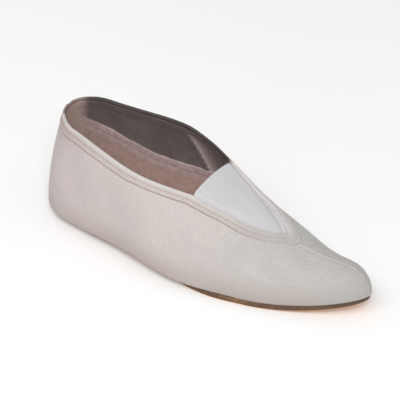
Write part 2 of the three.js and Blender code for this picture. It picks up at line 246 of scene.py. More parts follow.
def grid_faces(rows, columns, start=0, flip=False):
    i, j = np.meshgrid(np.arange(rows - 1), np.arange(columns - 1), indexing="ij")
    a = start + i * columns + j
    quads = np.stack([a, a + 1, a + columns + 1, a + columns], -1).reshape(-1, 4)
    return quads[:, ::-1] if flip else quads


def joined(name, material, parts):
    """One mesh from several grids of points, each with its tones and whether its faces are flipped."""
    points, faces, start = [], [], 0
    for grid, _, flip in parts:
        rows, columns = grid.shape[:2]
        points.append(grid.reshape(-1, 3))
        faces.append(grid_faces(rows, columns, start, flip))
        start += rows * columns
    keys = parts[0][1].keys()
    tones = {key: np.concatenate([part[1][key].reshape(-1) for part in parts]) for key in keys}
    return merge(make_mesh(name, np.concatenate(points), np.concatenate(faces), material, tones))


# Sections measured along the skin from the edge of the collar or throat, or from the crown in front of it.
SAMPLES, SKIN_ROWS, LINING_ROWS, LINING_COLUMNS, EDGE_SPOTS = 500, 300, 220, 150, 240
EDGE_REACH, EDGE_STEP, EDGE_SHARE, BELOW_EDGE = 8.0, 0.25, 0.4, 64
EDGE_DEPTHS = np.append(np.arange(0, EDGE_REACH, EDGE_STEP), EDGE_REACH)


def section(at, side, inset, depths):
    """Points of one side of one section at the given lengths below its edge."""
    first = edge_turn(at, side)
    last = -PI / 2 if side < 0 else 1.5 * PI
    turns = first + (last - first) * np.linspace(0, 1, SAMPLES)
    length = run_along(skin(np.full(SAMPLES, at), turns, inset))
    spots = depths(length[-1])
    return skin(np.full(len(spots), at), np.interp(spots, length, turns), inset), spots


def sections(at, side, inset, depths):
    """Points of one side at all the given places, and their depths."""
    made = [section(a, side, inset, depths) for a in at]
    return np.array([ring for ring, _ in made]), np.array([spots for _, spots in made])


def outside_depths(total):
    """Depths that are close together near the edge, where the binding is."""
    near = EDGE_DEPTHS * min(1.0, EDGE_SHARE * total / EDGE_REACH)
    return np.concatenate([near, np.linspace(near[-1], total, BELOW_EDGE)[1:]])


def normals_of(grid, towards):
    """Unit normals of a grid of points, turned to -Y or +Y on its wall."""
    n = unit(np.cross(np.gradient(grid, axis=0), np.gradient(grid, axis=1)))
    third, wall = len(grid) // 3, 60
    return n if np.mean(n[third : 2 * third, wall, 1]) * towards > 0 else -n


def creases(lines, x, depth):
    """Soft troughs and ridges, full halfway along and shallow at both ends.

    Each line runs between two places (x, depth below the edge), with a width and a height."""
    lift = np.zeros_like(x)
    for x0, d0, x1, d1, width, height in lines:
        px, pd = x1 - x0, d1 - d0
        run = px * px + pd * pd
        t = clamp(((x - x0) * px + (depth - d0) * pd) / run)
        away = np.hypot(x - x0 - t * px, depth - d0 - t * pd)
        lift += height * ridge(away, 0, width) * (0.35 + 0.65 * np.sin(PI * (0.08 + 0.84 * t)))
    return lift


# Places of creases on each side: x, depth, x, depth, width, height in millimetres.
CREASES = {
    -1: [
        (96, 14, 108, 30, 5, -0.5), (128, 9, 134, 20, 3, -0.35), (139, 9, 146, 19, 3, -0.3),
        (150, 8, 160, 19, 3.2, -0.35), (60, 12, 66, 34, 7, -0.45), (30, 10, 33, 40, 8, -0.5),
        (170, 22, 196, 30, 7, -0.5), (150, 34, 176, 40, 8, 0.5), (108, 44, 150, 52, 10, -0.5),
        (80, 40, 118, 50, 9, 0.45), (186, 8, 206, 16, 5, -0.35), (40, 50, 78, 54, 9, -0.35),
    ],
    1: [
        (100, 12, 110, 28, 5, -0.45), (132, 9, 139, 20, 3, -0.35), (146, 9, 154, 19, 3, -0.3),
        (56, 12, 60, 36, 7, -0.5), (28, 12, 30, 42, 8, -0.45), (172, 12, 196, 18, 6, -0.5),
        (150, 30, 180, 36, 8, 0.45), (84, 40, 120, 50, 9, -0.45), (188, 8, 208, 14, 5, -0.4),
    ],
}
CREASE_SCALE = 1.5

# Binding round the collar and throat, by distance from the edge: a roll, a groove and two stitched rows.
BINDING, BAND_RISE, BAND_SLOPE = 6.5, 0.42, 0.45
ROLL_CREST, ROLL_HALF, ROLL_RISE, ROLL_DROP, ROLL_END = 1.45, 1.55, 0.62, 0.35, 3.0
ROLL_BESIDE_GORE = {-1: 0.5, 1: 0.2}
GROOVE_AT, GROOVE_WIDE, GROOVE_DEEP = 3.2, 0.35, 0.22
STITCH_GROOVES, STITCH_WIDE, STITCH_DEEP = (4.1, 5.5), 0.3, 0.1
PUFF_AT, PUFF_WIDE, PUFF_RISE = 4.8, 0.5, 0.12

# Small puckers of the leather just below the binding.
PUCKER_AT, PUCKER_WIDE, PUCKER_RISE, PUCKER_PITCH, PUCKER_TO = 9.0, 3.0, 0.12, 5.2, 0.98
PUCKER_SWAY, SWAY_RUN = 3.0, 17.0

# Toe seam along the crown, in front of the gore's tip.
SEAM_HALF, SEAM_SLOPE, SEAM_DEEP, SEAM_WIDE, SEAM_TO = 1.75, 0.4, 0.3, 0.28, 0.992

# Seam at the heel's back, and the part of the edge where the binding is narrower.
BACK_DEEP, BACK_WIDE, BACK_REACH = 0.35, 0.7, 8.0
NARROW_FROM, NARROW_TO, NARROWER = 0.3, 0.58, 0.12

# The relief fades out at both ends of the shoe, as a share of the length, and above the sole in millimetres.
END_FADE, UNDER_FADE = 0.0006, 3.0


def fullness_of_roll(at, side):
    """The rolled edge is full along the collar and flat where the gore is sewn in."""
    return mix(1.0, ROLL_BESIDE_GORE[side], ease((at - THROAT_AT + 0.01) / 0.05))


def from_edge(grid, side):
    """Distance of each point from the edge of the collar and throat, which runs round the gore's tip."""
    beside_gore = np.linspace(THROAT_AT, TIP_AT, EDGE_SPOTS)
    spots = np.concatenate([crowd(EDGE_SPOTS, 0, THROAT_AT), beside_gore])
    line = np.array([skin(at, edge_turn(np.array(at), side), 0.0) for at in spots])
    parts = np.array_split(grid.reshape(-1, 3), 40)
    near = [np.sqrt(((part[:, None] - line) ** 2).sum(-1)).min(1) for part in parts]
    return np.concatenate(near).reshape(grid.shape[:2])


def relief(at, x, depth, ahead, side):
    """Height of the binding, the toe seam and the creases on the skin.

    Depth is the distance from the edge, and ahead is the length along the section."""
    roll = ROLL_RISE * np.sqrt(clamp(1 - ((depth - ROLL_CREST) / ROLL_HALF) ** 2))
    outermost = ROLL_RISE - ROLL_DROP * ((ROLL_CREST - depth) / ROLL_CREST) ** 3
    roll = np.where(depth < ROLL_CREST, outermost, roll) * fullness_of_roll(at, side)
    at_edge = np.maximum(np.where(depth < ROLL_END, roll, 0), BAND_RISE * within(depth, BINDING, BAND_SLOPE))
    at_edge = at_edge - GROOVE_DEEP * ridge(depth, GROOVE_AT, GROOVE_WIDE)
    for spot in STITCH_GROOVES:
        at_edge = at_edge - STITCH_DEEP * ridge(depth, spot, STITCH_WIDE)
    at_edge = at_edge + PUFF_RISE * ridge(depth, PUFF_AT, PUFF_WIDE)
    seam = BAND_RISE * within(ahead, SEAM_HALF, SEAM_SLOPE) - SEAM_DEEP * ridge(ahead, 0, SEAM_WIDE)
    seam = seam * clamp((SEAM_TO - at) / 0.01) * clamp((depth - BINDING) / 0.5) * (at > TIP_AT)
    lift = np.maximum(at_edge, seam) + np.minimum(seam, 0)
    wave = np.sin(x * 2 * PI / PUCKER_PITCH + PUCKER_SWAY * np.sin(x / SWAY_RUN))
    pucker = PUCKER_RISE * wave * ridge(depth, PUCKER_AT, PUCKER_WIDE) * clamp((PUCKER_TO - at) / 0.1)
    clear_of_seam = np.where(at < TIP_AT, 1, clamp(ahead / 3))
    return lift + pucker + CREASE_SCALE * clear_of_seam * creases(CREASES[side], x, ahead)


def skin_side(side):
    """Outer surface of one side: places along the length, points, normals and the material's tones."""
    corner = THROAT_AT + np.linspace(-3, 4, 12) / LENGTH
    tip = TIP_AT + np.linspace(-4, 9, 50) / LENGTH
    at = np.unique(np.round(np.concatenate([crowd(SKIN_ROWS, 0, 1), corner, tip, [TIP_AT]]), 7))
    grid, depth = sections(at, side, 0.0, outside_depths)
    normal = normals_of(grid, side)
    normal[at >= TIP_AT, 0, 1] = 0
    normal = unit(normal)
    at_grid = np.repeat(at[:, None], grid.shape[1], 1)
    narrow = ease((at_grid - NARROW_FROM) / 0.08) * (1 - ease((at_grid - NARROW_TO) / 0.06))
    away = from_edge(grid, side) * (1 + NARROWER * narrow)
    lift = relief(at_grid, grid[..., 0], away, depth, side)
    heel = 1 - clamp(at_grid * LENGTH / BACK_REACH)
    back = -BACK_DEEP * ridge(grid[..., 1], middle(at_grid), BACK_WIDE) * heel
    height = grid[..., 2] - underside(at_grid)
    fade = clamp(at_grid / END_FADE) * clamp((1 - at_grid) / END_FADE)
    moved = grid + normal * ((lift * clamp(height / UNDER_FADE) + back) * fade)[..., None]
    side_of = np.full(depth.shape, float(side))
    return at, moved, normal, dict(depth=away, ahead=depth, at=at_grid, height=height, side=side_of)


# Rim over the edge: the share by which it stays short of the lining's skin, its rise and its reach down.
RIM_IN, RIM_RISE, RIM_DOWN, RIM_STEPS, RIM_ROUND = 0.12, 0.55, 0.9, 9, 0.7


def rim_side(side, at, grid):
    """Rings that roll over from the skin to the lining's edge, with their tones."""
    rim = at <= TIP_AT + 1e-7
    at, outside = at[rim], grid[rim, 0]
    inside = sections(at, side, WALL, lambda total: np.array([0.0]))[0][:, 0]
    inside = mix(inside, outside, RIM_IN)
    up = unit(outside - grid[rim, 2])
    height = (RIM_RISE * fullness_of_roll(at, side) ** 2)[:, None] * up
    shares = np.linspace(0, 1, RIM_STEPS)[1:-1]
    rounded = [mix(outside, inside, t) + height * math.sin(PI * t) ** RIM_ROUND for t in shares]
    rings = np.stack([outside, *rounded, inside, inside - up * RIM_DOWN], 1)
    ones = np.ones(rings.shape[:2])
    tones = dict(ahead=0 * ones, height=COLLAR_HEIGHT * ones, side=side * ones)
    tones.update(depth=np.linspace(0, -2, rings.shape[1]) * ones, at=at[:, None] * ones)
    return rings, tones


def upper_skin(sides, material):
    """Outer skin and rim."""
    parts = []
    for side, (at, grid, _, tones) in sides.items():
        parts.append((grid, tones, side > 0))
        parts.append((*rim_side(side, at, grid), side < 0))
    return joined("upper_leather", material, parts)


# Top of the lower lining inside the shoe, as heights along the length.
LINING_AT = [0, 0.013, 0.065, 0.149, 0.236, 0.323, 0.396, 0.6, 1]
lining_top = smooth_line(LINING_AT, [66, 56.9, 45.4, 36.6, 30.9, 29.5, 29.3, 24, 20])
FACING_FOLDS = {
    1: [
        (75, 4, 91, 36, 2.6, 1.1), (60, 6, 64, 26, 6, 0.5), (100, 6, 98, 24, 6, 0.45),
        (30, 8, 34, 24, 6, 0.45),
    ],
    -1: [(84, 5, 88, 27, 4, 0.7), (52, 6, 57, 24, 6, 0.5), (26, 8, 30, 24, 6, 0.45)],
}

# Brushed lining: its thickness, its waves below the top edge and its stitched row.
CLOTH_RISE, CLOTH_SLOPE, CLOTH_FROM = 0.45, 0.7, 8.0
RIPPLE_RISE, RIPPLE_AT, RIPPLE_WIDE, RIPPLE_RUN, RIPPLE_SWAY = 0.25, 4.0, 5.0, 3.7, 11.0
ROW_AT, ROW_WIDE, ROW_DEEP = 5.5, 0.5, 0.25

# Tape under the edge inside, and the sheen of the facing's main fold, from its x at the edge and below it.
TAPE, TAPE_RISE, TAPE_GROOVE, TAPE_DEEP, TAPE_WIDE = 6.0, 0.35, 4.6, 0.1, 0.4
SHEEN_X, SHEEN_LOW_X, SHEEN_LOW, SHEEN_FALL = 74.0, 92.0, 34.0, 6.5

# Share of the length over which the lining's lighter back of the heel reaches forward on each side.
BACK_LINING = {-1: 0.12, 1: 0.034}


def lining_side(side):
    """Inside of one side: a smooth facing, and a brushed lining with a raised top edge below it."""
    at = np.unique(np.concatenate([crowd(LINING_ROWS, 0, 1), [TIP_AT]]))
    grid, depth = sections(at, side, WALL, lambda total: np.linspace(0, total, LINING_COLUMNS))
    normal = normals_of(grid, -side)
    x, z = grid[..., 0], grid[..., 2]
    at_grid = np.repeat(at[:, None], grid.shape[1], 1)
    below = lining_top(at_grid) - z
    cloth = ease(below / CLOTH_SLOPE + 0.5) * ease((at_grid * LENGTH - 1) / CLOTH_FROM)
    wave = np.sin(x / RIPPLE_RUN + 2 * np.sin(x / RIPPLE_SWAY))
    ripple = RIPPLE_RISE * wave * ridge(below, RIPPLE_AT, RIPPLE_WIDE)
    stitch = -ROW_DEEP * ridge(below, ROW_AT, ROW_WIDE)
    tape = TAPE_RISE * within(depth, TAPE, TAPE_WIDE) - TAPE_DEEP * ridge(depth, TAPE_GROOVE, TAPE_WIDE)
    tape = tape * (at_grid < TIP_AT)
    folds = creases(FACING_FOLDS[side], x, depth)
    lift = CLOTH_RISE * cloth + (ripple + stitch) * cloth + tape + folds * (1 - 0.6 * cloth)
    ends = ease(at_grid * LENGTH / 3) * ease((1 - at_grid) * LENGTH / 3)
    fade = ends * clamp((z - underside(at_grid) - 1) / 4)
    moved = grid + normal * (lift * fade * clamp(depth / 1.2))[..., None]
    ahead = x - mix(SHEEN_X, SHEEN_LOW_X, clamp(depth / SHEEN_LOW))
    sheen = clamp(ahead / 1.2) * np.exp(-np.maximum(ahead, 0) / SHEEN_FALL)
    sheen = sheen * clamp((depth - 3) / 9) * (side > 0)
    back = at_grid / BACK_LINING[side]
    return moved, dict(below=below, depth=depth, at=at_grid, sheen=sheen, back=back)


def upper_lining(material):
    return joined("upper_lining", material, [(*lining_side(side), side < 0) for side in (-1, 1)])


# Outsole: flat, with fine ribs across it, a bevelled foot and a lip cupped to the upper.
HEEL_SETBACK, BALL_SETBACK, SETBACK_FROM, SETBACK_RUN = 7.0, 0.8, 0.45, 0.22
RIB_PITCH, RIB_DEPTH, RIB_POWER, RIB_ROWS = 1.5, 0.35, 0.8, 6
SOLE_LIP, LIP_GAP, LIP_ROUND, LIP_INNER = 0.8, 0.12, 0.25, 0.08
SOLE_BEVEL, BEVEL_TOP, BEVEL_LOW = 0.7, 0.8, 0.25
SOLE_ROWS, SOLE_COLUMNS = 120, 15


def setback(at):
    return mix(HEEL_SETBACK, BALL_SETBACK, ease((at - SETBACK_FROM) / SETBACK_RUN))


def grid_of(x, columns):
    """A grid of points from columns of y and z that share their x."""
    return np.stack([np.stack([x, y, z], 1) for y, z in columns], 1)


def sole_mesh(material):
    run = LENGTH - HEEL_SETBACK - BALL_SETBACK
    fine = np.arange(0.004, 0.996, RIB_PITCH / RIB_ROWS / run)
    at = np.unique(np.concatenate([fine, crowd(SOLE_ROWS, 0.0006, 0.9994)]))
    x = HEEL_SETBACK + at * run
    spot = x / LENGTH
    foot = underside(spot) - SOLE
    outer = middle(spot) - np.maximum(half_width(at, -1, setback(spot)), 0.05)
    inner = middle(spot) + np.maximum(half_width(at, 1, setback(spot)), 0.05)
    rib = RIB_DEPTH * (0.5 - 0.5 * np.cos(2 * PI * x / RIB_PITCH)) ** RIB_POWER
    bevel = np.minimum(SOLE_BEVEL, (inner - outer) / 6)

    def lip(y, side):
        """Height of the lip, which stays under the upper's skin."""
        half = np.maximum(half_width(spot, side, 0.0), 0.5)
        low, widest, _ = levels(spot, 0.0)
        power = lower_power(spot)
        share = clamp(np.abs(y - middle(spot)) / half)
        skin_z = widest - (widest - low) * (1 - share**power) ** (1 / power)
        return np.minimum(underside(spot) + SOLE_LIP, skin_z - LIP_GAP)

    def flank(own, other, side):
        """Columns of one long side, from under the upper over the lip and down to the foot."""
        rim = lip(own, side)
        return [
            (mix(own, other, LIP_INNER), underside(spot) - GAP),
            (own - side * LIP_ROUND, rim),
            (own, rim - LIP_ROUND),
            (own, mix(foot + 0.9, rim, 0.5)),
            (own, foot + BEVEL_TOP),
            (own - side * 0.3 * bevel, foot + BEVEL_LOW + 0.6 * rib),
        ]

    across = np.linspace(0, 1, SOLE_COLUMNS)
    bottom = [(mix(outer + bevel, inner - bevel, t), foot + rib) for t in across]
    columns = [*flank(outer, inner, -1), *bottom, *reversed(flank(inner, outer, 1))]
    grid = grid_of(x, [*columns, columns[0]])
    rows, count = grid.shape[:2]
    faces = [tuple(f) for f in grid_faces(rows, count)]
    faces.append(tuple(range(count - 1)))
    faces.append(tuple((rows - 1) * count + k for k in reversed(range(count - 1))))
    tones = dict(rise=(grid[..., 2] - foot[:, None]).reshape(-1), toe=np.repeat(spot, count))
    return merge(make_mesh("outsole_ribbed", grid.reshape(-1, 3), faces, material, tones), closed=True)


# Insole: a thin sock with soft hollows under the heel and the ball, as x, half length, half width and depth.
INSOLE_GAP, INSOLE_THICKNESS, SOCK_EDGE, SOCK_SIDE, SOCK_DOWN = 0.3, 1.8, 0.35, 0.5, 1.6
HEEL_HOLLOW, BALL_HOLLOW = (32, 22, 15, 0.5), (152, 24, 24, 0.45)
SOCK_ROWS, SOCK_COLUMNS = 160, 31


def insole_mesh(material):
    inset = WALL + GAP + INSOLE_GAP
    at = crowd(SOCK_ROWS, 0.001, 0.999)
    x = inset + at * (LENGTH - 2 * inset)
    top = underside(at) + WALL + GAP + INSOLE_THICKNESS
    outer = middle(at) - half_width(at, -1, inset)
    inner = middle(at) + half_width(at, 1, inset)
    columns = [(outer + 0.3, top - SOCK_DOWN), (outer, top - SOCK_SIDE)]
    for t in np.linspace(0, 1, SOCK_COLUMNS):
        y = mix(outer + SOCK_EDGE, inner - SOCK_EDGE, t)
        z = top
        for centre, length, width, deep in (HEEL_HOLLOW, BALL_HOLLOW):
            z = z - deep * ridge(x, centre, length) * ridge(y, middle(at), width)
        columns.append((y, z))
    columns += [(inner, top - SOCK_SIDE), (inner - 0.3, top - SOCK_DOWN)]
    grid = grid_of(x, columns)
    faces = grid_faces(*grid.shape[:2], flip=True)
    return merge(make_mesh("insole_sock", grid.reshape(-1, 3), faces, material))


# Gore: woven elastic stretched across the throat under the binding, with a folded rear edge.
GORE_ARCH, GORE_THICKNESS, GORE_UNDERLAP, GORE_DROP, GORE_PAST_TIP = 3.0, 1.3, 3.5, 0.25, 0.02
HEM_TO, HEM_SLOPE, HEM_RISE, HEM_ROUND, HEM_TOP_DROP, HEM_LOW_RISE = 6.5, 1.5, 0.08, 0.8, 0.5, 0.6
GORE_WAVE, GORE_WAVE_RUN, GORE_WAVE_WIDE, GORE_WAVE_SWAY, GORE_WAVE_SWINGS = 0.1, 0.24, 2.1, 1.2, 60
HEM_ROWS, GORE_ROWS, GORE_COLUMNS = 26, 90, 71

# A fold inside the gore's inner edge from FOLD_FROM on, and the raised part that covers that edge.
FOLD_FROM, FOLD_IN, FOLD_WIDE, FOLD_DEEP = 0.6, 2.4, 1.5, 0.7
COVER_OUT, COVER_WIDE, COVER_RISE = 0.6, 2.6, 0.9


def gore_row(a, across):
    """One section: points of the top and the underside, and distances from the middle and the rear edge."""
    spot = np.array(min(a, TIP_AT))
    ends = [skin(a, edge_turn(spot, side), 0.0)[1] for side in (-1, 1)]
    centre, half = sum(ends) / 2, max((ends[1] - ends[0]) / 2, 1.0)
    y = centre + across * (half + GORE_UNDERLAP)
    off = y - centre
    heights = [float(edge(spot, side)) for side in (-1, 1)]
    chord = mix(heights[0], heights[1], (off / half + 1) / 2)
    arch = GORE_ARCH * clamp((TIP_AT - a) / (TIP_AT - THROAT_AT))
    sheet = chord - GORE_DROP + arch * (1 - (off / half) ** 2)
    inset = WALL + GAP
    _, widest, top = levels(np.array(a), inset)
    width = np.where(y < middle(a), half_width(a, -1, inset), half_width(a, 1, inset))
    share = clamp(np.abs(y - middle(a)) / np.maximum(width, 1))
    power = fullness(a)
    under_skin = widest + (top - widest) * (1 - share**power) ** (1 / power)
    inside = clamp((half - np.abs(off)) / 2.5)
    hem_at = (a - THROAT_AT) * LENGTH
    rounding = (1 - clamp(hem_at / HEM_ROUND)) ** 2
    hem = HEM_RISE * clamp((HEM_TO - hem_at) / HEM_SLOPE) - HEM_TOP_DROP * rounding
    swell = GORE_WAVE * inside * math.sin(PI * clamp((a - THROAT_AT) / GORE_WAVE_RUN))
    wave = swell * np.sin(y / GORE_WAVE_WIDE + GORE_WAVE_SWAY * math.sin(a * GORE_WAVE_SWINGS))
    from_inner = half - off
    front = ease((a - FOLD_FROM) / 0.06)
    fold = FOLD_DEEP * front * ridge(from_inner, FOLD_IN, FOLD_WIDE) * clamp(half / 4)
    cover = COVER_RISE * (1 - 0.5 * front) * ridge(from_inner, -COVER_OUT, COVER_WIDE)
    z = np.minimum(sheet, under_skin) + (hem + wave) * inside - fold + cover
    low = z + fold - GORE_THICKNESS + HEM_LOW_RISE * rounding
    x = np.full(len(y), a * LENGTH)
    return np.stack([x, y, z], 1), np.stack([x, y, low], 1), off, np.full(len(y), hem_at)


def gore_mesh(material):
    near_hem = np.linspace(THROAT_AT + 0.0008, THROAT_AT + 0.03, HEM_ROWS)
    ahead_of_hem = np.linspace(THROAT_AT + 0.031, TIP_AT + GORE_PAST_TIP, GORE_ROWS)
    across = np.linspace(-1, 1, GORE_COLUMNS)
    made = [gore_row(a, across) for a in np.concatenate([near_hem, ahead_of_hem])]
    top_grid, low_grid, off, hem = (np.array(part) for part in zip(*made))
    rows, columns = top_grid.shape[:2]
    count = rows * columns
    faces = [tuple(f) for f in grid_faces(rows, columns, flip=True)]
    faces += [tuple(f) for f in grid_faces(rows, columns, count)]
    for j in range(columns - 1):
        faces.append((j, j + 1, count + j + 1, count + j))
        last = count - columns + j
        faces.append((last + 1, last, count + last, count + last + 1))
    for i in range(rows - 1):
        a, b = i * columns, (i + 1) * columns
        faces.append((a, count + a, count + b, b))
        a, b = a + columns - 1, b + columns - 1
        faces.append((a, b, count + b, count + a))
    tones = dict(across=np.tile(off.reshape(-1), 2), hem=np.tile(hem.reshape(-1), 2))
    points = np.concatenate([top_grid.reshape(-1, 3), low_grid.reshape(-1, 3)])
    return merge(make_mesh("gore_elastic", points, faces, material, tones), closed=True)


# Stitches: small threads in one mesh, on each side in two rows on the binding and one beside the toe seam.
BINDING_ROWS, ROWS_FROM, SEAM_ROW, SEAM_ROW_TO = (4.1, 5.6), 0.002, 1.15, 0.985
STITCH_PITCH, STITCH_LENGTH, STITCH_RADIUS, STITCH_SCATTER = 2.4, 1.7, 0.2, 0.06
THREAD_RING, THREAD_STEPS = 6, 7


def thread_line(surface, d, from_, to, around):
    """Points and normals of a line at depth d on one side of the skin, between two shares of the length."""
    at, grid, normal, tones = surface
    depth = tones["depth"] if around else tones["ahead"]
    rows = np.nonzero((at >= from_) & (at <= to) & (depth[:, 0] < d))[0]
    return [np.array([between(d, depth[i], part[i]) for i in rows]) for part in (grid, normal)]


def one_thread(line, length, normals, place):
    """A short thread round one place of a line, which dips into the surface at both ends."""
    path = between(place + np.linspace(-0.5, 0.5, THREAD_STEPS) * STITCH_LENGTH, length, line)
    out = between(place, length, normals)
    out /= np.linalg.norm(out)
    along = path[-1] - path[0]
    along /= np.linalg.norm(along)
    across = np.cross(out, along)
    bow = np.sin(PI * np.linspace(0, 1, THREAD_STEPS))
    path = path + out * (bow[:, None] ** 0.6 * STITCH_RADIUS * 1.2 - STITCH_RADIUS * 0.7)
    width = STITCH_RADIUS * (0.45 + 0.55 * bow**0.5)
    turns = np.arange(THREAD_RING) * 2 * PI / THREAD_RING
    circle = np.cos(turns)[None, :, None] * across + np.sin(turns)[None, :, None] * out
    return (path[:, None] + circle * width[:, None, None]).reshape(-1, 3)


def stitches(name, lines, material):
    """Threads along every line, a pitch apart and a little scattered."""
    around = THREAD_RING + 1
    tube = grid_faces(THREAD_STEPS, around)
    tube = tube // around * THREAD_RING + tube % around % THREAD_RING
    points = []
    for line, normals in lines:
        length = run_along(line)
        places = np.arange(STITCH_PITCH / 2, length[-1] - STITCH_PITCH / 2, STITCH_PITCH)
        places = places + RNG.uniform(-STITCH_SCATTER, STITCH_SCATTER, len(places)) * STITCH_PITCH
        points += [one_thread(line, length, normals, place) for place in places]
    faces = [tube + i * THREAD_STEPS * THREAD_RING for i in range(len(points))]
    return make_mesh(name, np.concatenate(points), np.concatenate(faces), material)


# Materials.
def linear(*rgb):
    """A shader colour from a screen colour of 0 to 255."""
    shares = [v / 255 for v in rgb]
    return tuple(v / 12.92 if v <= 0.04045 else ((v + 0.055) / 1.055) ** 2.4 for v in shares) + (1.0,)


class Surface:
    """A procedural material, built from short calls. Scales are per metre, and tones are the mesh's own."""

    # The mix node has sockets of one name for each kind of value, so its colours go by number.
    FIRST, SECOND, MIXED = 6, 7, 2

    def __init__(self, name, roughness, specular):
        self.material = bpy.data.materials.new(name)
        self.material.use_nodes = True
        self.tree = self.material.node_tree
        self.shader = self.tree.nodes["Principled BSDF"]
        self.shader.inputs["Roughness"].default_value = roughness
        self.shader.inputs["Specular IOR Level"].default_value = specular
        self.place = self.tree.nodes.new("ShaderNodeTexCoord").outputs["Object"]

    def join(self, value, socket):
        if isinstance(value, bpy.types.NodeSocket):
            self.tree.links.new(value, socket)
        else:
            socket.default_value = value

    def tone(self, name):
        node = self.tree.nodes.new("ShaderNodeAttribute")
        node.attribute_name = name
        return node.outputs["Fac"]

    def maths(self, operation, *values):
        node = self.tree.nodes.new("ShaderNodeMath")
        node.operation = operation
        for value, socket in zip(values, node.inputs):
            self.join(value, socket)
        return node.outputs[0]

    def product(self, first, *others):
        for other in others:
            first = self.maths("MULTIPLY", first, other)
        return first

    def step(self, value, low, high, from_=0.0, to=1.0):
        """A soft step from one result at low to the other at high."""
        node = self.tree.nodes.new("ShaderNodeMapRange")
        node.interpolation_type = "SMOOTHSTEP"
        keys = ("Value", "From Min", "From Max", "To Min", "To Max")
        for key, given in zip(keys, (value, low, high, from_, to)):
            self.join(given, node.inputs[key])
        return node.outputs["Result"]

    def line(self, value, spot, wide, full, share):
        """A line round one value, which fades out at the wide distance from it."""
        return self.step(self.maths("ABSOLUTE", self.maths("SUBTRACT", value, spot)), wide, full, 0.0, share)

    def stretched(self, x, y, z):
        node = self.tree.nodes.new("ShaderNodeMapping")
        self.join(self.place, node.inputs["Vector"])
        node.inputs["Scale"].default_value = (x, y, z)
        return node.outputs["Vector"]

    def noise(self, per_metre, detail=3.0, roughness=0.5, place=None):
        node = self.tree.nodes.new("ShaderNodeTexNoise")
        self.join(place or self.place, node.inputs["Vector"])
        node.inputs["Scale"].default_value = per_metre
        node.inputs["Detail"].default_value = detail
        node.inputs["Roughness"].default_value = roughness
        return node.outputs["Fac"]

    def cells(self, per_metre):
        node = self.tree.nodes.new("ShaderNodeTexVoronoi")
        self.join(self.place, node.inputs["Vector"])
        node.inputs["Scale"].default_value = per_metre
        return node.outputs["Distance"]

    def waves(self, per_metre, direction, distortion=0.0):
        node = self.tree.nodes.new("ShaderNodeTexWave")
        node.bands_direction = direction
        self.join(self.place, node.inputs["Vector"])
        node.inputs["Scale"].default_value = per_metre
        node.inputs["Distortion"].default_value = distortion
        return node.outputs["Fac"]

    def mixed(self, share, a, b):
        node = self.tree.nodes.new("ShaderNodeMix")
        node.data_type = "RGBA"
        self.join(share, node.inputs["Factor"])
        self.join(a, node.inputs[self.FIRST])
        self.join(b, node.inputs[self.SECOND])
        return node.outputs[self.MIXED]

    def tint(self, colour, share, *rgb):
        return self.mixed(share, colour, linear(*rgb))

    def bump(self, height, distance, strength, below=None):
        node = self.tree.nodes.new("ShaderNodeBump")
        node.inputs["Distance"].default_value = distance
        node.inputs["Strength"].default_value = strength
        self.join(height, node.inputs["Height"])
        if below is not None:
            self.join(below, node.inputs["Normal"])
        return node.outputs["Normal"]

    def done(self, colour, normal, roughness=None):
        self.join(colour, self.shader.inputs["Base Color"])
        self.join(normal, self.shader.inputs["Normal"])
        if roughness is not None:
            self.join(roughness, self.shader.inputs["Roughness"])
        return self.material


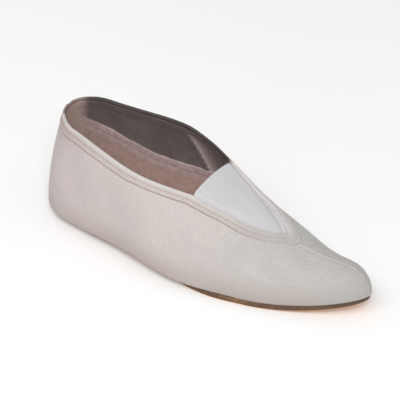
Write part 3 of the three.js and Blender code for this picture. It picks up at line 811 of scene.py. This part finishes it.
def leather():
    s = Surface("leather", 0.55, 0.35)
    at, depth = s.tone("at"), s.tone("depth")
    inner_side = s.step(s.tone("side"), 0.3, 0.6)

    # Tones from the heel to the toe, and painted shade low down, near the sole.
    colour = s.mixed(s.step(at, 0.0, 0.45), linear(194, 182, 180), linear(199, 191, 187))
    colour = s.tint(colour, s.step(at, 0.5, 0.8), 192, 191, 186)
    colour = s.tint(colour, s.step(s.tone("height"), 22.0, 1.0, 0.0, 0.8), 170, 156, 150)
    colour = s.tint(colour, s.step(at, 0.84, 0.97, 0.0, 0.8), 177, 178, 174)

    # Clouds, streaks and specks in the finish, and painted shade below the collar at the heel.
    colour = s.tint(colour, s.step(s.noise(22, 4.0, 0.6), 0.42, 0.68, 0.0, 0.35), 180, 172, 170)
    streak = s.noise(60, 5.0, 0.7, s.stretched(0.5, 1, 1.6))
    colour = s.tint(colour, s.step(streak, 0.55, 0.75, 0.0, 0.35), 206, 203, 203)
    colour = s.tint(colour, s.step(s.noise(900, 4.0, 0.75), 0.45, 0.68, 0.0, 0.42), 166, 156, 153)
    painted_collar_shade = s.product(s.step(at, 0.2, 0.08), s.step(depth, 18.0, 5.0, 0.0, 0.45))
    colour = s.tint(colour, painted_collar_shade, 168, 154, 151)

    # A paler band beside the gore on the inner side, and the weave of the finish.
    band = s.product(inner_side, s.step(at, THROAT_AT, THROAT_AT + 0.05), s.step(depth, 9.0, 5.0, 0.0, 0.6))
    colour = s.tint(colour, s.product(band, s.step(at, TIP_AT + 0.012, TIP_AT - 0.02)), 222, 217, 219)
    weave = s.product(s.waves(330, "X", 2.5), s.waves(330, "Z", 2.5))
    colour = s.tint(colour, s.step(weave, 0.2, 0.8, 0.0, 0.16), 226, 222, 222)

    # The roll's top lightened by a painted highlight, and dark lines at its groove and at the binding's
    # edge.
    painted_roll_highlight = s.product(s.step(depth, 1.7, 1.1, 0.0, 0.6), s.step(at, 0.55, 0.5))
    colour = s.tint(colour, painted_roll_highlight, 211, 207, 204)
    fainter = s.step(at, THROAT_AT, TIP_AT, 1.0, 0.35)
    for spot, wide, share in ((GROOVE_AT, 0.45, 0.45), (BINDING + 0.15, 0.55, 0.95)):
        colour = s.tint(colour, s.product(s.line(depth, spot, wide, 0.1, share), fainter), 140, 112, 108)

    # The roll's dark inner face, which reaches further up on the inner side and at the heel's back.
    collar_part = s.step(at, THROAT_AT + 0.01, THROAT_AT - 0.01)
    high = s.maths("MAXIMUM", inner_side, s.step(at, 0.022, 0.018))
    face = s.product(s.mixed(high, s.step(depth, -1.5, -1.8), s.step(depth, 0.55, 0.15)), collar_part)
    face_tone = s.tint(linear(150, 130, 122), s.product(s.step(at, 0.01, 0.04), high), 76, 68, 67)
    colour = s.mixed(face, colour, face_tone)

    # The toe seam's dark line, and scuffs at the toe.
    crest = s.product(s.step(s.tone("ahead"), 0.5, 0.05, 0.0, 0.5), s.step(depth, BINDING, BINDING + 0.5))
    colour = s.tint(colour, s.product(crest, s.step(at, TIP_AT, TIP_AT + 0.01)), 150, 143, 140)
    scuff = s.product(s.step(s.noise(90, 6.0, 0.75), 0.56, 0.7, 0.0, 0.4), s.step(at, 0.8, 0.98))
    colour = s.tint(colour, scuff, 172, 164, 158)

    grain = s.maths("ADD", s.product(s.cells(1100), 0.7), s.noise(700, 4.0, 0.7))
    normal = s.bump(grain, 0.00018, 0.8)
    normal = s.bump(s.noise(140), 0.0006, 0.6, normal)
    return s.done(colour, normal, s.step(s.noise(300), 0.3, 0.7, 0.48, 0.66))


def lining():
    s = Surface("lining", 0.8, 0.25)
    below, depth, at = s.tone("below"), s.tone("depth"), s.tone("at")

    # Smooth facing, with the tape under the edge and a sheen beside the main fold.
    dark = s.mixed(s.step(s.noise(70, 5.0, 0.65), 0.35, 0.7), linear(116, 108, 107), linear(130, 120, 118))
    dark = s.tint(dark, s.step(depth, TAPE + 0.4, TAPE - 0.4, 0.0, 0.2), 146, 134, 131)
    dark = s.tint(dark, s.tone("sheen"), 214, 200, 197)

    # Brushed lining, with a paler strip along its ragged top.
    strip = s.mixed(s.step(s.noise(400), 0.35, 0.7), linear(206, 182, 180), linear(190, 165, 162))
    low = s.mixed(s.step(s.noise(300, 4.0, 0.7), 0.3, 0.7), linear(202, 175, 166), linear(186, 159, 150))
    ragged = s.maths("ADD", below, s.maths("SUBTRACT", s.noise(500), 0.5))
    cloth = s.step(ragged, -0.3, 0.3)
    colour = s.mixed(cloth, dark, s.mixed(s.step(below, 8.2, 9.8), strip, low))
    pale_edge = s.product(s.line(ragged, 0.5, 0.7, 0.1, 0.8), s.step(at, 0.02, 0.06))
    colour = s.tint(colour, pale_edge, 216, 196, 194)
    colour = s.tint(colour, s.line(below, ROW_AT, 0.6, 0.15, 0.2), 150, 126, 122)
    heel = s.product(s.step(s.tone("back"), 1.0, 0.25), s.step(s.noise(60, 4.0), 0.3, 0.7, 0.85, 1.0))
    colour = s.tint(colour, heel, 204, 182, 172)

    nap = s.maths("ADD", s.noise(1600, 4.0, 0.7), s.product(s.waves(420, "X", 2.0), 0.4))
    normal = s.bump(nap, 0.00012, 0.6)
    normal = s.bump(s.noise(110, 4.0, 0.6), 0.0008, 0.6, normal)
    return s.done(colour, normal, s.mixed(cloth, linear(140, 140, 140), linear(240, 240, 240)))


# Pitch of the elastic's long cords and of the threads across them, in millimetres.
CORD_PITCH, PICK_PITCH = 0.85, 0.6


def elastic():
    s = Surface("elastic", 0.7, 0.3)
    cord = s.maths("SINE", s.product(s.tone("across"), 2 * PI / CORD_PITCH))
    pick = s.maths("SINE", s.product(s.tone("hem"), 2 * PI / PICK_PITCH))
    knit = s.maths("ADD", s.product(cord, 0.7), s.product(pick, 0.3))
    colour = s.mixed(s.step(knit, -1.0, 0.8), linear(200, 199, 201), linear(216, 215, 217))
    colour = s.tint(colour, s.step(s.noise(45, 4.0, 0.6), 0.45, 0.7, 0.0, 0.4), 206, 200, 201)
    normal = s.bump(knit, 0.0001, 0.55)
    return s.done(colour, s.bump(s.noise(1200, 3.0, 0.6), 0.00008, 0.5, normal))


def rubber():
    s = Surface("rubber", 0.62, 0.35)
    rise = s.tone("rise")
    colour = s.mixed(s.step(s.noise(55, 5.0, 0.6), 0.3, 0.7), linear(216, 157, 94), linear(205, 144, 84))
    colour = s.tint(colour, s.step(s.noise(900, 3.0, 0.6), 0.5, 0.75, 0.0, 0.4), 176, 118, 66)

    # Flecked sides darkened by painted shade, worn patches, and more painted shade on the sides towards the
    # toe.
    fleck = s.step(s.noise(420), 0.5, 0.7, 0.0, 0.45)
    flecked_side_shade = s.mixed(fleck, linear(84, 67, 55), linear(138, 104, 70))
    colour = s.mixed(s.step(rise, 0.3, 1.0, 0.0, 0.95), colour, flecked_side_shade)
    colour = s.tint(colour, s.step(s.noise(30), 0.55, 0.75, 0.0, 0.25), 232, 182, 122)
    toe_side_shade = s.product(s.step(s.tone("toe"), 0.72, 0.95, 0.0, 0.85), s.step(rise, 0.5, 1.0))
    colour = s.tint(colour, toe_side_shade, 84, 69, 56)
    normal = s.bump(s.noise(1100, 4.0, 0.6), 0.0001, 0.5)
    return s.done(colour, normal, s.step(s.noise(200), 0.3, 0.7, 0.5, 0.72))


def sock():
    s = Surface("sock", 0.85, 0.2)
    colour = s.mixed(s.step(s.noise(50, 5.0, 0.6), 0.3, 0.7), linear(186, 161, 154), linear(168, 143, 136))
    colour = s.tint(colour, s.step(s.noise(700), 0.45, 0.7, 0.0, 0.4), 188, 164, 158)
    weave = s.maths("ADD", s.waves(330, "X", 1.0), s.waves(330, "Y", 1.0))
    return s.done(colour, s.bump(s.maths("ADD", weave, s.noise(1300)), 0.00012, 0.5))


def yarn():
    s = Surface("thread", 0.6, 0.3)
    colour = s.mixed(s.step(s.noise(600, 2.0), 0.35, 0.65), linear(203, 190, 187), linear(178, 160, 157))
    return s.done(colour, s.bump(s.waves(2600, "DIAGONAL"), 0.00006, 0.5))


def floor_surface():
    s = Surface("floor", 0.9, 0.1)
    colour = s.mixed(s.step(s.noise(3, 2.0), 0.3, 0.7), (0.93, 0.93, 0.93, 1), (0.95, 0.95, 0.95, 1))
    s.shader.inputs["Emission Color"].default_value = (1, 1, 1, 1)
    s.shader.inputs["Emission Strength"].default_value = 0.1
    return s.done(colour, s.bump(s.noise(400, 2.0), 0.00005, 0.2))


# The slipper.
sides = {side: skin_side(side) for side in (-1, 1)}
skin_piece = upper_skin(sides, leather())
lining_piece = upper_lining(lining())
sole_piece = sole_mesh(rubber())
insole_piece = insole_mesh(sock())
gore_piece = gore_mesh(elastic())
rows = []
for surface in sides.values():
    rows += [thread_line(surface, d, ROWS_FROM, TIP_AT + d / LENGTH, True) for d in BINDING_ROWS]
    rows.append(thread_line(surface, SEAM_ROW, TIP_AT + BINDING / LENGTH, SEAM_ROW_TO, False))
thread_piece = stitches("upper_stitches", rows, yarn())

for piece, node, slot in (
    (skin_piece, "upper", "upper_leather"),
    (lining_piece, "upper", "upper_leather"),
    (thread_piece, "upper", "upper_leather"),
    (sole_piece, "outsole", "sole_rubber"),
    (insole_piece, "insole", "insole_lining"),
    (gore_piece, "gore", "gore_elastic"),
):
    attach(piece, "root")
    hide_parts(node)

# Floor, in millimetres round the frame's origin, just below the sole.
FLOOR_HALF, FLOOR_LOW = 3000.0, 0.1
corners = np.array([(-1, -1, 0), (1, -1, 0), (1, 1, 0), (-1, 1, 0)])
floor_points = corners * FLOOR_HALF - (0, 0, FLOOR_LOW) - SHIFT
floor = make_mesh("floor", floor_points, [(0, 1, 2, 3)], floor_surface())

# Camera, fitted to the shoe's outline in a view of WIDE by HIGH pixels. Its target is seen at the AXIS.
# DISTANCE and TARGET are in metres, and SENSOR is in millimetres.
AZIMUTH, ELEVATION, ROLL = (math.radians(v) for v in (31.86498, 34.64696, 1.78753))
DISTANCE, PIXELS_PER_MM, AXIS_X, AXIS_Y = 1.93338, 1.623158, 222.835, 215.796
WIDE, HIGH, SENSOR = 400, 407, 36.0
TARGET_X, TARGET_Z = 0.010, 0.030
level = Vector((math.cos(AZIMUTH), math.sin(AZIMUTH), 0))
ahead = Vector((-math.sin(AZIMUTH), math.cos(AZIMUTH), 0))
forward = ahead * math.cos(ELEVATION) - Vector((0, 0, math.sin(ELEVATION)))
upright = level.cross(forward)
right = level * math.cos(ROLL) + upright * math.sin(ROLL)
up = upright * math.cos(ROLL) - level * math.sin(ROLL)
target = Vector((TARGET_X, SIDE_SHIFT / 1000, TARGET_Z))
focal = PIXELS_PER_MM * 1000 * DISTANCE
aim = (forward + right * ((WIDE / 2 - AXIS_X) / focal) - up * ((HIGH / 2 - AXIS_Y) / focal)).normalized()
side_way = aim.cross(up).normalized()
upward = side_way.cross(aim)
camera_data = bpy.data.cameras.new("camera")
camera_data.sensor_width = SENSOR
camera_data.lens = SENSOR * focal / HIGH
camera_data.dof.use_dof = False
camera = bpy.data.objects.new("camera", camera_data)
turned = Matrix((side_way, upward, -aim)).transposed().to_4x4()
camera.matrix_world = Matrix.Translation(target - forward * DISTANCE) @ turned
bpy.context.scene.collection.objects.link(camera)
bpy.context.scene.camera = camera


# Light: a soft key from the upper left, a fill from just above the camera and an even white world.
def soft_light(name, towards, distance, size, watts, colour=(1, 1, 1)):
    light = bpy.data.lights.new(name, "AREA")
    light.shape = "DISK"
    light.size = size
    light.energy = watts
    light.color = colour
    lamp = bpy.data.objects.new(name, light)
    away = Vector(towards).normalized()
    lamp.location = target + away * distance
    lamp.rotation_euler = away.to_track_quat("Z", "Y").to_euler()
    bpy.context.scene.collection.objects.link(lamp)


WARM = (1.0, 0.985, 0.965)
WORLD_STRENGTH = 0.55
key_way = -forward * 0.55 - level * 0.45 + Vector((0, 0, 0.6))
fill_way = -forward * 0.9 + Vector((0, 0, 0.25))
soft_light("key", key_way, distance=1.6, size=0.9, watts=5, colour=WARM)
soft_light("fill", fill_way, distance=2.0, size=0.8, watts=15)

world = bpy.data.worlds.new("world")
world.use_nodes = True
background = world.node_tree.nodes["Background"]
background.inputs["Color"].default_value = (1, 1, 1, 1)
background.inputs["Strength"].default_value = WORLD_STRENGTH
bpy.context.scene.world = world
bpy.context.scene.view_settings.view_transform = "Standard"
